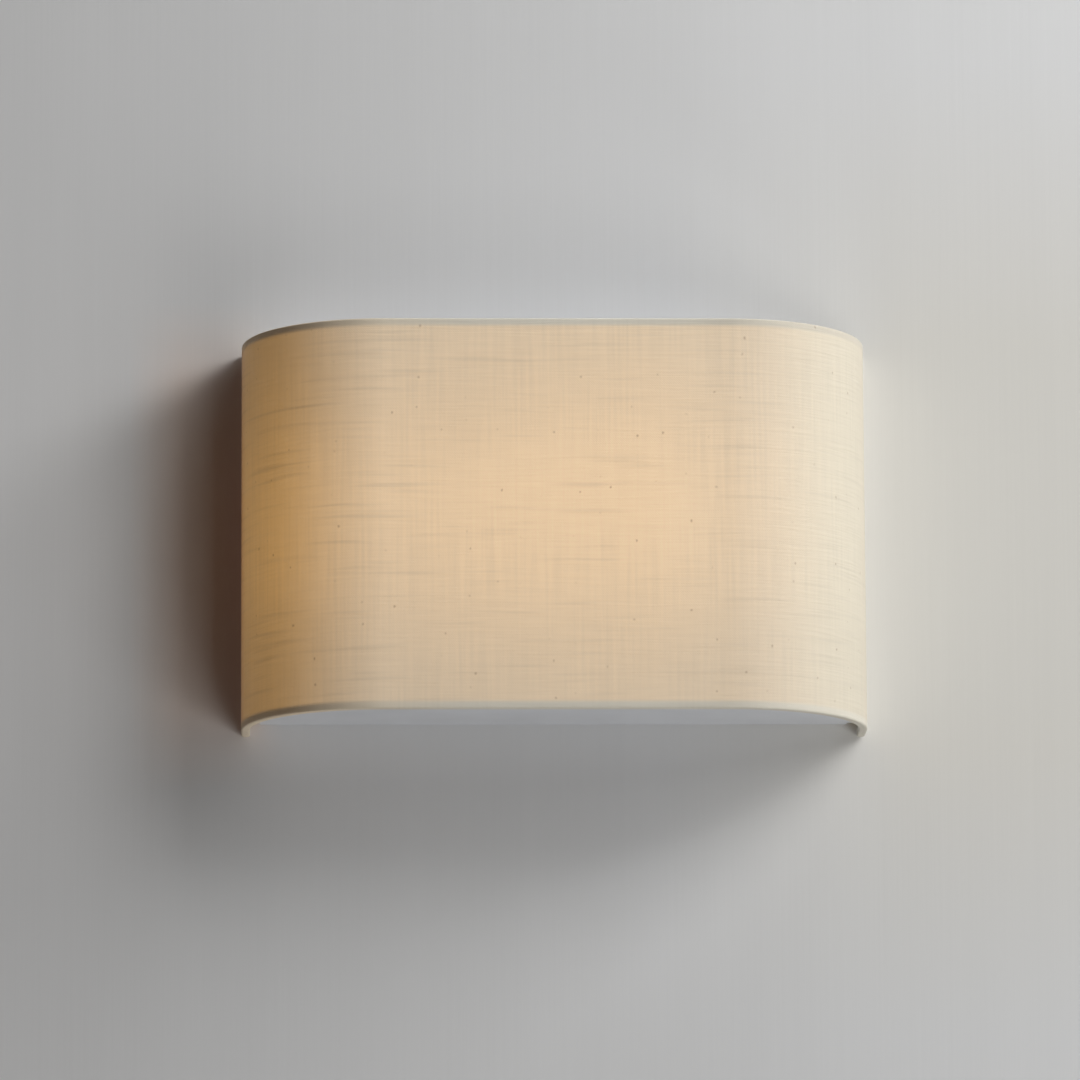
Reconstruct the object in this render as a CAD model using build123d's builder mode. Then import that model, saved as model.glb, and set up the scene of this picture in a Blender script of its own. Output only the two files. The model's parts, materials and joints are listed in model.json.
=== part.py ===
from build123d import *
import os
from math import cos, pi, radians, sin, tan

os.makedirs("parts", exist_ok=True)

# A wall light with a D-shaped fabric shade over a white steel tray and two small lamps.
# Lengths are in millimetres. The wall is the plane Y = 0 and the shade's front faces -Y.
# +Z is up. The origin is the middle of the tray's back, where it lies on the wall.

# Shade
shade_width = 300.0
shade_height = 188.0
shade_depth = 84.5
shade_corner_radius = 68.0
fabric_thickness = 0.5
liner_thickness = 0.4
glue_line = 0.05
ring_wire = 3.0
upright_wire = 2.5
sleeve_play = 0.05
rolled_edge_fillet = 1.8
liner_trim = 0.2

# Steel tray with its top and bottom plates folded forward
tray_sheet = 1.2
plate_recess = 5.9
plate_edge_gap = 0.5
corner_notch_width = 4.4
corner_notch_depth = 6.0
tray_bend_radius = 2.0

# Wall fixing and cable entry
wall_hole_spacing = 160.0
wall_hole_height = 30.0
wall_hole_diameter = 5.2
cable_entry_height = 48.0
cable_bush_bore = 10.0
cable_bush_wall = 2.0
cable_bush_flange = 3.0
cable_bush_flange_thickness = 1.5
bush_play = 0.05

# Tabs that locate the shade, and the thumbscrews that hold it
tab_length = 24.0
tab_width = 16.0
tab_sheet = 1.5
tab_play = 0.1
tab_notch_play = 0.3
tab_wall_gap = 0.5
thumbscrew_side_inset = 16.0
thumbscrew_wall_distance = 11.0
thumbscrew_diameter = 4.0
thumbscrew_thread_play = 0.05
thumbscrew_hole_play = 0.3
thumbscrew_head_diameter = 12.0
thumbscrew_head_height = 4.6
thumbscrew_tail = 2.0
thumbscrew_knurls = 24
knurl_depth = 0.4
shade_nut_across_flats = 7.0
shade_nut_thickness = 3.2

# Lamp brackets
lamp_spacing = 110.0
lamp_wall_distance = 42.0
bracket_sheet = 1.5
bracket_width = 30.0
bracket_leg_height = 30.0
bracket_bend_radius = 2.5
bracket_corner_radius = 6.0
shelf_lift = 8.4
shelf_overhang = 15.0
rivet_diameter = 3.0
rivet_head_diameter = 6.0
rivet_head_height = 1.5
rivet_spacing = 18.0
rivet_drop = 9.5
rivet_play = 0.05

# Lampholders
nipple_diameter = 10.0
nipple_bore = 7.0
nipple_depth = 8.0
nipple_play = 0.1
nipple_tail = 1.5
nipple_nut_across_flats = 14.0
nipple_nut_thickness = 3.0
holder_diameter = 27.0
holder_base_height = 14.0
holder_sleeve_height = 23.0
holder_rim_fillet = 1.5
holder_step = 0.8
holder_step_height = 3.0
lug_width = 20.0
lug_reach = 15.0
lug_height = 12.0
shell_play = 0.1
shell_thickness = 0.7
shell_sleeve_play = 0.2
shell_rim_drop = 2.0
contact_length = 10.0
contact_width = 5.0
contact_sheet = 0.5
contact_rise = 1.3
contact_play = 0.05

# Bulbs with a small screw cap and a round globe
bulb_length = 78.0
globe_diameter = 45.0
globe_wrap = 43.0
glass_thickness = 0.8
neck_diameter = 14.8
cap_diameter = 13.9
cap_sheet = 0.4
cap_rim_lift = 0.4
insulator_height = 2.5
insulator_foot_diameter = 5.2
tip_diameter = 4.8
tip_height = 1.1

# Terminal block, earth stud and leads
block_bottom = 2.0
block_height = 17.0
block_depth = 15.0
block_end = 2.0
block_fillet = 1.0
pole_pitch = 9.0
pole_wall_distance = 7.5
barrel_bore = 5.4
barrel_wall = 0.6
barrel_inset = 1.5
barrel_play = 0.05
clamp_screw_diameter = 3.2
clamp_screw_sink = 1.0
clamp_screw_spacing = 8.0
block_screw_diameter = 2.4
block_screw_head = 2.8
block_screw_sink = 3.0
block_screw_play = 0.1
earth_stud_diameter = 4.0
earth_stud_length = 12.0
earth_stud_drop = 36.0
earth_play = 0.1
earth_ring_diameter = 8.4
earth_ring_sheet = 0.8
earth_barrel_diameter = 3.6
earth_barrel_length = 7.0
earth_washer_diameter = 8.0
earth_washer_thickness = 0.8
earth_nut_across_flats = 7.0
earth_nut_thickness = 3.2
lead_diameter = 2.2
lead_play = 0.1
lead_pair_offset = 1.4
lead_entry_offset = 4.0
lead_entry_depth = 6.0
lead_inserted = 5.0
lead_arc_share = 0.45

# Heights, insets and places worked out from the sizes above
sleeve_radius = ring_wire / 2 + sleeve_play + fabric_thickness
ring_rear = fabric_thickness + sleeve_play
ring_height = shade_height / 2 - sleeve_radius
upright_x = shade_width / 2 - sleeve_radius
plate_inset = 2 * sleeve_radius + plate_edge_gap
tray_half_height = shade_height / 2 - plate_recess
plate_inner_height = tray_half_height - tray_sheet
tray_half_width = shade_width / 2 - plate_inset - corner_notch_width
tab_outer_x = upright_x - upright_wire / 2
tab_rear = tray_sheet + tab_wall_gap
upper_tab_top = plate_inner_height - tab_play
thumbscrew_x = shade_width / 2 - thumbscrew_side_inset
lamp_x = lamp_spacing / 2
shelf_underside = shelf_lift - plate_inner_height
shelf_top = shelf_underside + bracket_sheet
bracket_face = tray_sheet + bracket_sheet
rivet_height = shelf_underside + bracket_leg_height - rivet_drop
holder_base_top = shelf_top + holder_base_height
holder_rim = holder_base_top + holder_sleeve_height
shell_bore_radius = cap_diameter / 2 + shell_play
shell_outer_radius = shell_bore_radius + shell_thickness
sleeve_bore_radius = shell_outer_radius + shell_sleeve_play
bulb_tip = holder_base_top + contact_rise + contact_play
cap_bottom = bulb_tip + tip_height + insulator_height
cap_top = holder_rim + cap_rim_lift
globe_height = bulb_tip + bulb_length - globe_diameter / 2
block_width = 3 * pole_pitch + 2 * block_end
block_top = block_bottom + block_height
block_face = tray_sheet + block_depth
barrel_radius = barrel_bore / 2 + barrel_wall
block_middle = (block_bottom + block_top) / 2
lead_end = lamp_wall_distance - lug_reach + lead_inserted
lug_middle = shelf_top + lug_height / 2
sides = {"left": -1, "right": 1}


def save(piece, name):
    """Label a finished piece and write it under its own name."""
    piece.part.label = name
    export_step(piece.part, f"parts/{name}.step")


def d_line(inset, rear, height):
    """Open D outline inside the shade's outer face, from the left rear end to the right one."""
    half = shade_width / 2 - inset
    front = inset - shade_depth
    with BuildLine() as outline:
        FilletPolyline(
            (-half, -rear, height),
            (-half, front, height),
            (half, front, height),
            (half, -rear, height),
            radius=shade_corner_radius - inset,
        )
    return outline.line


def d_section(inset, rear, height):
    """Plane square to the start of a D outline, with its X axis pointing into the shade."""
    start = (inset - shade_width / 2, -rear, height)
    return Plane(origin=start, x_dir=(1, 0, 0), z_dir=(0, -1, 0))


def d_face(inset, rear):
    """Filled D shape with a straight rear edge."""
    outline = d_line(inset, rear, 0)
    with BuildSketch() as face:
        with BuildLine():
            add(outline)
            Line(outline @ 1, outline @ 0)
        make_face()
    return face.sketch


def lead_radii(points):
    """Largest tangent arc at each corner that leaves both runs beside it partly straight."""
    radii = []
    for before, corner, after in zip(points, points[1:], points[2:]):
        run_in = Vector(*corner) - Vector(*before)
        run_out = Vector(*after) - Vector(*corner)
        half_turn = radians(run_in.get_angle(run_out) / 2)
        shorter = min(run_in.length, run_out.length)
        radii.append(lead_arc_share * shorter / tan(half_turn))
    return radii


# The fabric is rolled round both wire rings and both rear uprights, so its edges are thick.
rear_sleeves = [(side * upright_x, -sleeve_radius) for side in sides.values()]
tab_middle = upper_tab_top - tab_sheet / 2
tab_notches = [
    (side * (upright_x - sleeve_radius), -sleeve_radius, level)
    for side in sides.values()
    for level in (-tab_middle, tab_middle)
]
shade_outside = d_face(0, 0)
rolled_inside = d_face(2 * sleeve_radius, 0)
panel_inside = d_face(fabric_thickness, 2 * sleeve_radius)
panel_height = shade_height - 4 * sleeve_radius
with BuildPart() as shade_fabric:
    with BuildSketch(Plane.XY.offset(-shade_height / 2)):
        add(shade_outside)
        add(rolled_inside, mode=Mode.SUBTRACT)
    extrude(amount=shade_height)
    rear_edges = shade_fabric.edges().filter_by(Axis.Z).group_by(Axis.Y)[-1]
    fillet(rear_edges, rolled_edge_fillet)
    fillet(shade_fabric.faces().sort_by(Axis.Z)[-1].edges(), rolled_edge_fillet)
    fillet(shade_fabric.faces().sort_by(Axis.Z)[0].edges(), rolled_edge_fillet)
    with BuildSketch(Plane.XY.offset(-panel_height / 2)):
        add(panel_inside)
    extrude(amount=panel_height, mode=Mode.SUBTRACT)
    for end in (-1, 1):
        with BuildSketch(d_section(sleeve_radius, ring_rear, end * ring_height)):
            Circle(ring_wire / 2 + sleeve_play)
        sweep(path=d_line(sleeve_radius, ring_rear, end * ring_height), mode=Mode.SUBTRACT)
    with Locations(*rear_sleeves):
        Cylinder(upright_wire / 2 + sleeve_play, 2 * ring_height, mode=Mode.SUBTRACT)
    with Locations(*tab_notches):
        Box(
            2 * sleeve_radius,
            2 * sleeve_radius + tab_notch_play,
            tab_sheet + 2 * tab_notch_play,
            mode=Mode.SUBTRACT,
        )
save(shade_fabric, "shade_fabric")

# A stiff liner is glued inside the fabric, between the rolled edges.
liner_outer = fabric_thickness + glue_line
liner_rear = 2 * sleeve_radius + liner_trim
liner_height = shade_height - 4 * sleeve_radius - 2 * liner_trim
liner_outside = d_face(liner_outer, liner_rear)
liner_inside = d_face(liner_outer + liner_thickness, liner_rear)
with BuildPart() as shade_liner:
    with BuildSketch(Plane.XY.offset(-liner_height / 2)):
        add(liner_outside)
        add(liner_inside, mode=Mode.SUBTRACT)
    extrude(amount=liner_height)
save(shade_liner, "shade_liner")

# Wire frame of the shade: two D rings and two uprights, which run between the rings.
for name, end in (("upper_ring", 1), ("lower_ring", -1)):
    with BuildPart() as wire_ring:
        with BuildSketch(d_section(sleeve_radius, ring_rear + sleeve_play, end * ring_height)):
            Circle(ring_wire / 2)
        sweep(path=d_line(sleeve_radius, ring_rear + sleeve_play, end * ring_height))
    save(wire_ring, name)

for name, side in sides.items():
    with BuildPart() as upright:
        with Locations((side * upright_x, -sleeve_radius)):
            Cylinder(upright_wire / 2, 2 * ring_height - ring_wire)
    save(upright, f"{name}_upright")

# Tabs on the uprights: the upper pair is slotted from the rear for the thumbscrews, and the
# lower pair rests on the tray's bottom plate.
for name, side in sides.items():
    tab_x = side * (tab_outer_x - tab_length / 2)
    tab_y = -tab_rear - tab_width / 2
    slot_length = 2 * (thumbscrew_wall_distance - tab_rear)
    for level_name, underside in (("upper", upper_tab_top - tab_sheet), ("lower", -upper_tab_top)):
        with BuildPart() as tab:
            with BuildSketch(Plane.XY.offset(underside)):
                with Locations((tab_x, tab_y)):
                    Rectangle(tab_length, tab_width)
                if level_name == "upper":
                    with Locations((side * thumbscrew_x, -tab_rear)):
                        Rectangle(
                            thumbscrew_diameter + 2 * thumbscrew_hole_play,
                            slot_length,
                            mode=Mode.SUBTRACT,
                        )
                    with Locations((side * thumbscrew_x, -thumbscrew_wall_distance)):
                        Circle(thumbscrew_diameter / 2 + thumbscrew_hole_play, mode=Mode.SUBTRACT)
            extrude(amount=tab_sheet)
        save(tab, f"{level_name}_{name}_tab")

# Steel tray: a back plate folded into a D-shaped plate at the top and at the bottom. The
# plates' rear corners are notched to let the shade's uprights past.
plate_face = d_face(plate_inset, 0)
plate_corners = [(side * (shade_width / 2 - plate_inset), 0) for side in sides.values()]
wall_holes = [(side * wall_hole_spacing / 2, wall_hole_height) for side in sides.values()]
thumbscrew_holes = [(side * thumbscrew_x, -thumbscrew_wall_distance) for side in sides.values()]
rivet_places = [
    (side * lamp_x + step * rivet_spacing / 2, rivet_height)
    for side in sides.values()
    for step in (-1, 1)
]
block_screw_places = [(step * pole_pitch / 2, block_middle) for step in (-1, 1)]
earth_place = (0, block_bottom - earth_stud_drop)
bend_outside = [(0, 0, end * tray_half_height) for end in (-1, 1)]
bend_inside = [(0, -tray_sheet, end * plate_inner_height) for end in (-1, 1)]
with BuildPart() as gear_tray:
    for underside in (plate_inner_height, -tray_half_height):
        with BuildSketch(Plane.XY.offset(underside)):
            add(plate_face)
            with Locations(*plate_corners):
                Rectangle(2 * corner_notch_width, 2 * corner_notch_depth, mode=Mode.SUBTRACT)
            if underside > 0:
                with Locations(*thumbscrew_holes):
                    Circle(thumbscrew_diameter / 2 + thumbscrew_hole_play, mode=Mode.SUBTRACT)
        extrude(amount=tray_sheet)
    with BuildSketch(Plane.XZ):
        Rectangle(2 * tray_half_width, 2 * tray_half_height)
    extrude(amount=tray_sheet)
    along_x = gear_tray.edges().filter_by(Axis.X)
    fillet([along_x.sort_by_distance(place)[0] for place in bend_outside], tray_bend_radius)
    along_x = gear_tray.edges().filter_by(Axis.X)
    fillet([along_x.sort_by_distance(place)[0] for place in bend_inside], tray_bend_radius - tray_sheet)
    with BuildSketch(Plane.XZ):
        with Locations(*wall_holes):
            Circle(wall_hole_diameter / 2)
        with Locations((0, cable_entry_height)):
            Circle(cable_bush_bore / 2 + cable_bush_wall + bush_play)
        with Locations(*rivet_places):
            Circle(rivet_diameter / 2 + rivet_play)
        with Locations(*block_screw_places):
            Circle(block_screw_diameter / 2 + block_screw_play)
        with Locations(earth_place):
            Circle(earth_stud_diameter / 2 + earth_play)
    extrude(amount=tray_sheet, mode=Mode.SUBTRACT)
save(gear_tray, "gear_tray")

# Insulating bush for the supply cable, flush with the back of the tray.
with BuildPart() as cable_bush:
    with BuildSketch(Plane.XZ):
        with Locations((0, cable_entry_height)):
            Circle(cable_bush_bore / 2 + cable_bush_wall)
    extrude(amount=tray_sheet)
    with BuildSketch(Plane.XZ.offset(tray_sheet)):
        with Locations((0, cable_entry_height)):
            Circle(cable_bush_bore / 2 + cable_bush_wall + cable_bush_flange)
    extrude(amount=cable_bush_flange_thickness)
    with BuildSketch(Plane.XZ):
        with Locations((0, cable_entry_height)):
            Circle(cable_bush_bore / 2)
    extrude(amount=tray_sheet + cable_bush_flange_thickness, mode=Mode.SUBTRACT)
save(cable_bush, "cable_bush")

# Thumbscrews come down through the top plate and the slotted tabs into hexagon nuts.
head_bottom = tray_half_height + thumbscrew_thread_play
nut_top = upper_tab_top - tab_sheet - tab_play
nut_bottom = nut_top - shade_nut_thickness
for name, side in sides.items():
    with BuildPart() as thumbscrew:
        with BuildSketch(Plane.XY.offset(nut_bottom - thumbscrew_tail)):
            with Locations((side * thumbscrew_x, -thumbscrew_wall_distance)):
                Circle(thumbscrew_diameter / 2)
        extrude(amount=head_bottom - nut_bottom + thumbscrew_tail)
        with BuildSketch(Plane.XY.offset(head_bottom)):
            with Locations((side * thumbscrew_x, -thumbscrew_wall_distance)):
                Circle(thumbscrew_head_diameter / 2)
                with PolarLocations(thumbscrew_head_diameter / 2, thumbscrew_knurls):
                    Circle(knurl_depth, mode=Mode.SUBTRACT)
        extrude(amount=thumbscrew_head_height)
    save(thumbscrew, f"{name}_thumbscrew")

with BuildPart() as shade_nuts:
    with BuildSketch(Plane.XY.offset(nut_bottom)):
        with Locations(*thumbscrew_holes):
            RegularPolygon(shade_nut_across_flats / 2, 6, major_radius=False)
            Circle(thumbscrew_diameter / 2 + thumbscrew_thread_play, mode=Mode.SUBTRACT)
    extrude(amount=shade_nut_thickness)
save(shade_nuts, "shade_nuts")

# Lamp brackets: an upright leg riveted to the tray and a shelf under each lampholder.
shelf_front = lamp_wall_distance + shelf_overhang
leg_top = shelf_underside + bracket_leg_height
for name, side in sides.items():
    lamp_side_x = side * lamp_x
    bracket_start = lamp_side_x - bracket_width / 2
    with BuildPart() as bracket:
        with BuildSketch(Plane.YZ.offset(bracket_start)):
            with BuildLine():
                Polyline(
                    (-tray_sheet, shelf_underside),
                    (-shelf_front, shelf_underside),
                    (-shelf_front, shelf_top),
                    (-bracket_face, shelf_top),
                    (-bracket_face, leg_top),
                    (-tray_sheet, leg_top),
                    close=True,
                )
            make_face()
        extrude(amount=bracket_width)
        along_x = bracket.edges().filter_by(Axis.X)
        outside_bend = along_x.sort_by_distance((lamp_side_x, -tray_sheet, shelf_underside))[0]
        fillet(outside_bend, bracket_bend_radius)
        along_x = bracket.edges().filter_by(Axis.X)
        inside_bend = along_x.sort_by_distance((lamp_side_x, -bracket_face, shelf_top))[0]
        fillet(inside_bend, bracket_bend_radius - bracket_sheet)
        fillet(bracket.edges().filter_by(Axis.Z).group_by(Axis.Y)[0], bracket_corner_radius)
        fillet(bracket.edges().filter_by(Axis.Y).group_by(Axis.Z)[-1], bracket_corner_radius)
        with BuildSketch(Plane.XY.offset(shelf_underside)):
            with Locations((lamp_side_x, -lamp_wall_distance)):
                Circle(nipple_diameter / 2 + nipple_play)
        extrude(amount=bracket_sheet, mode=Mode.SUBTRACT)
        with BuildSketch(Plane.XZ.offset(tray_sheet)):
            with Locations(*rivet_places):
                Circle(rivet_diameter / 2 + rivet_play)
        extrude(amount=bracket_sheet, mode=Mode.SUBTRACT)
    save(bracket, f"{name}_lamp_bracket")

with BuildPart() as bracket_rivets:
    with BuildSketch(Plane.XZ):
        with Locations(*rivet_places):
            Circle(rivet_diameter / 2)
    extrude(amount=bracket_face)
    with BuildSketch(Plane.XZ.offset(bracket_face)):
        with Locations(*rivet_places):
            Circle(rivet_head_diameter / 2)
    extrude(amount=rivet_head_height)
    heads = bracket_rivets.faces().filter_by(Axis.Y).group_by(Axis.Y)[0]
    fillet(heads.edges(), rivet_head_height / 2)
save(bracket_rivets, "bracket_rivets")

# Lampholders: a hollow threaded nipple and nut hold each one on its shelf.
nipple_bottom = shelf_underside - nipple_nut_thickness - nipple_tail
lamp_places = [(side * lamp_x, -lamp_wall_distance) for side in sides.values()]
with BuildPart() as nipple_nuts:
    with BuildSketch(Plane.XY.offset(shelf_underside - nipple_nut_thickness)):
        with Locations(*lamp_places):
            RegularPolygon(nipple_nut_across_flats / 2, 6, major_radius=False)
            Circle(nipple_diameter / 2 + nipple_play, mode=Mode.SUBTRACT)
    extrude(amount=nipple_nut_thickness)
save(nipple_nuts, "nipple_nuts")

for name, side in sides.items():
    lamp_place = (side * lamp_x, -lamp_wall_distance)
    with BuildPart() as nipple:
        with BuildSketch(Plane.XY.offset(nipple_bottom)):
            with Locations(lamp_place):
                Circle(nipple_diameter / 2)
                Circle(nipple_bore / 2, mode=Mode.SUBTRACT)
        extrude(amount=shelf_top + nipple_depth - nipple_bottom)
    save(nipple, f"{name}_nipple")

    lug_place = (side * lamp_x, (lug_reach / 2) - lamp_wall_distance)
    lug_face = lamp_wall_distance - lug_reach
    entries = [(side * lamp_x + step * lead_entry_offset, lug_middle) for step in (-1, 1)]
    with BuildPart() as holder_base:
        with BuildSketch(Plane.XY.offset(shelf_top)):
            with Locations(lamp_place):
                Circle(holder_diameter / 2)
        extrude(amount=holder_base_height)
        with BuildSketch(Plane.XY.offset(shelf_top)):
            with Locations(lug_place):
                Rectangle(lug_width, lug_reach)
        extrude(amount=lug_height)
        with BuildSketch(Plane.XY.offset(shelf_top)):
            with Locations(lamp_place):
                Circle(nipple_diameter / 2 + nipple_play)
        extrude(amount=nipple_depth + nipple_play, mode=Mode.SUBTRACT)
        with BuildSketch(Plane.XZ.offset(lug_face)):
            with Locations(*entries):
                Circle(lead_diameter / 2 + lead_play)
        extrude(amount=lead_entry_depth, mode=Mode.SUBTRACT)
    save(holder_base, f"{name}_holder_base")

    with BuildPart() as holder_sleeve:
        with BuildSketch(Plane.XY.offset(holder_base_top)):
            with Locations(lamp_place):
                Circle(holder_diameter / 2)
        extrude(amount=holder_step_height)
        with BuildSketch(Plane.XY.offset(holder_base_top + holder_step_height)):
            with Locations(lamp_place):
                Circle(holder_diameter / 2 - holder_step)
        extrude(amount=holder_sleeve_height - holder_step_height)
        fillet(holder_sleeve.faces().sort_by(Axis.Z)[-1].edges(), holder_rim_fillet)
        with BuildSketch(Plane.XY.offset(holder_base_top)):
            with Locations(lamp_place):
                Circle(sleeve_bore_radius)
        extrude(amount=holder_sleeve_height, mode=Mode.SUBTRACT)
    save(holder_sleeve, f"{name}_holder_sleeve")

    with BuildPart() as thread_shell:
        with BuildSketch(Plane.XY.offset(holder_base_top)):
            with Locations(lamp_place):
                Circle(shell_outer_radius)
                Circle(shell_bore_radius, mode=Mode.SUBTRACT)
        extrude(amount=holder_sleeve_height - shell_rim_drop)
    save(thread_shell, f"{name}_thread_shell")

    contact_plane = Plane(
        origin=(side * lamp_x, contact_width / 2 - lamp_wall_distance, holder_base_top),
        x_dir=(1, 0, 0),
        z_dir=(0, -1, 0),
    )
    with BuildPart() as centre_contact:
        with BuildSketch(contact_plane):
            with BuildLine():
                Polyline(
                    (-contact_length / 2, 0),
                    (-contact_length / 4 + contact_sheet, 0),
                    (contact_sheet - contact_length / 8, contact_rise - contact_sheet),
                    (contact_length / 4, contact_rise - contact_sheet),
                    (contact_length / 4, contact_rise),
                    (-contact_length / 8, contact_rise),
                    (-contact_length / 4, contact_sheet),
                    (-contact_length / 2, contact_sheet),
                    close=True,
                )
            make_face()
        extrude(amount=contact_width)
    save(centre_contact, f"{name}_centre_contact")

# Bulbs: a hollow glass globe and neck on a plated cap with an insulator and a tip.


def globe_face(plane, inset):
    """Half section of the globe and its neck, drawn `inset` inside the glass's outer face."""
    globe_radius = globe_diameter / 2 - inset
    neck_radius = neck_diameter / 2 - inset
    wrap = radians(globe_wrap)
    shoulder = (globe_radius * cos(wrap), globe_height - globe_radius * sin(wrap))
    cone = (shoulder[0] - neck_radius) / sin(wrap)
    cone_end = (neck_radius, shoulder[1] - cone * cos(wrap))
    with BuildSketch(plane) as face:
        with BuildLine():
            CenterArc((0, globe_height), globe_radius, -globe_wrap, 90 + globe_wrap)
            Polyline(
                shoulder,
                cone_end,
                (neck_radius, cap_top),
                (0, cap_top),
                (0, globe_height + globe_radius),
            )
        make_face()
    return face.sketch


for name, side in sides.items():
    lamp_place = (side * lamp_x, -lamp_wall_distance)
    lamp_plane = Plane(origin=(*lamp_place, 0), x_dir=(1, 0, 0), z_dir=(0, -1, 0))
    lamp_axis = Axis((*lamp_place, 0), (0, 0, 1))
    glass_outside = globe_face(lamp_plane, 0)
    glass_inside = globe_face(lamp_plane, glass_thickness)
    with BuildPart() as bulb_globe:
        add(glass_outside)
        revolve(axis=lamp_axis)
        add(glass_inside)
        revolve(axis=lamp_axis, mode=Mode.SUBTRACT)
    save(bulb_globe, f"{name}_bulb_globe")

    with BuildPart() as bulb_cap:
        with BuildSketch(Plane.XY.offset(cap_bottom)):
            with Locations(lamp_place):
                Circle(cap_diameter / 2)
                Circle(cap_diameter / 2 - cap_sheet, mode=Mode.SUBTRACT)
        extrude(amount=cap_top - cap_bottom)
    save(bulb_cap, f"{name}_bulb_cap")

    with BuildPart() as bulb_insulator:
        with BuildSketch(lamp_plane):
            with BuildLine():
                Polyline(
                    (0, cap_bottom - insulator_height),
                    (insulator_foot_diameter / 2, cap_bottom - insulator_height),
                    (cap_diameter / 2, cap_bottom),
                    (0, cap_bottom),
                    close=True,
                )
            make_face()
        revolve(axis=lamp_axis)
    save(bulb_insulator, f"{name}_bulb_insulator")

    with BuildPart() as bulb_contact:
        with BuildSketch(Plane.XY.offset(bulb_tip)):
            with Locations(lamp_place):
                Circle(tip_diameter / 2)
        extrude(amount=tip_height)
        fillet(bulb_contact.faces().sort_by(Axis.Z)[0].edges(), tip_height / 2)
    save(bulb_contact, f"{name}_bulb_contact")

# Three-pole terminal block on the tray, with a brass barrel and two clamp screws in each pole.
poles = [(step * pole_pitch, -pole_wall_distance) for step in (-1, 0, 1)]
clamp_places = [
    (x, block_middle + step * clamp_screw_spacing / 2) for x, _ in poles for step in (-1, 1)
]
clamp_depth = block_face - pole_wall_distance - barrel_radius
with BuildPart() as terminal_block:
    with BuildSketch(Plane.XZ.offset(tray_sheet)):
        with Locations((0, block_middle)):
            Rectangle(block_width, block_height)
    extrude(amount=block_depth)
    fillet(terminal_block.edges().filter_by(Axis.Y), block_fillet)
    with BuildSketch(Plane.XY.offset(block_bottom)):
        with Locations(*poles):
            Circle(barrel_radius + barrel_play)
    extrude(amount=block_height, mode=Mode.SUBTRACT)
    with BuildSketch(Plane.XZ.offset(block_face)):
        with Locations(*clamp_places):
            Circle(clamp_screw_diameter / 2 + block_screw_play)
    extrude(amount=-clamp_depth, mode=Mode.SUBTRACT)
    with BuildSketch(Plane.XZ.offset(tray_sheet)):
        with Locations(*block_screw_places):
            Circle(block_screw_diameter / 2 + block_screw_play)
    extrude(amount=block_depth, mode=Mode.SUBTRACT)
save(terminal_block, "terminal_block")

with BuildPart() as terminal_barrels:
    with BuildSketch(Plane.XY.offset(block_bottom + barrel_inset)):
        with Locations(*poles):
            Circle(barrel_radius)
            Circle(barrel_bore / 2, mode=Mode.SUBTRACT)
    extrude(amount=block_height - 2 * barrel_inset)
save(terminal_barrels, "terminal_barrels")

with BuildPart() as clamp_screws:
    with BuildSketch(Plane.XZ.offset(block_face - clamp_screw_sink)):
        with Locations(*clamp_places):
            Circle(clamp_screw_diameter / 2)
    extrude(amount=-(clamp_depth - clamp_screw_sink))
save(clamp_screws, "clamp_screws")

with BuildPart() as block_screws:
    with BuildSketch(Plane.XZ):
        with Locations(*block_screw_places):
            Circle(block_screw_diameter / 2)
    extrude(amount=block_face)
    with BuildSketch(Plane.XZ.offset(block_face)):
        with Locations(*block_screw_places):
            Circle(block_screw_head / 2)
    extrude(amount=block_screw_head / 2)
save(block_screws, "block_screws")

# Earth stud through the tray with a ring terminal, a washer and a nut.
ring_face = tray_sheet + earth_ring_sheet
washer_face = ring_face + earth_washer_thickness
barrel_axis_y = ring_face + earth_barrel_diameter / 2 - earth_ring_sheet
earth_barrel_bottom = earth_place[1] + earth_ring_diameter / 2
earth_hole = earth_stud_diameter / 2 + earth_play
with BuildPart() as earth_stud:
    with BuildSketch(Plane.XZ):
        with Locations(earth_place):
            Circle(earth_stud_diameter / 2)
    extrude(amount=earth_stud_length)
save(earth_stud, "earth_stud")

with BuildPart() as earth_ring_terminal:
    with BuildSketch(Plane.XZ.offset(tray_sheet)):
        with Locations(earth_place):
            Circle(earth_ring_diameter / 2)
        with Locations((0, earth_barrel_bottom)):
            Rectangle(earth_barrel_diameter, earth_ring_diameter / 2)
        with Locations(earth_place):
            Circle(earth_hole, mode=Mode.SUBTRACT)
    extrude(amount=earth_ring_sheet)
    with BuildSketch(Plane.XY.offset(earth_barrel_bottom)):
        with Locations((0, -barrel_axis_y)):
            Circle(earth_barrel_diameter / 2)
    extrude(amount=earth_barrel_length)
    with BuildSketch(Plane.XY.offset(earth_barrel_bottom)):
        with Locations((0, -barrel_axis_y)):
            Circle(lead_diameter / 2 + lead_play)
    extrude(amount=earth_barrel_length, mode=Mode.SUBTRACT)
save(earth_ring_terminal, "earth_ring_terminal")

with BuildPart() as earth_washer:
    with BuildSketch(Plane.XZ.offset(ring_face)):
        with Locations(earth_place):
            Circle(earth_washer_diameter / 2)
            Circle(earth_hole, mode=Mode.SUBTRACT)
    extrude(amount=earth_washer_thickness)
save(earth_washer, "earth_washer")

with BuildPart() as earth_nut:
    with BuildSketch(Plane.XZ.offset(washer_face)):
        with Locations(earth_place):
            RegularPolygon(earth_nut_across_flats / 2, 6, major_radius=False)
            Circle(earth_hole, mode=Mode.SUBTRACT)
    extrude(amount=earth_nut_thickness)
save(earth_nut, "earth_nut")

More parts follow.
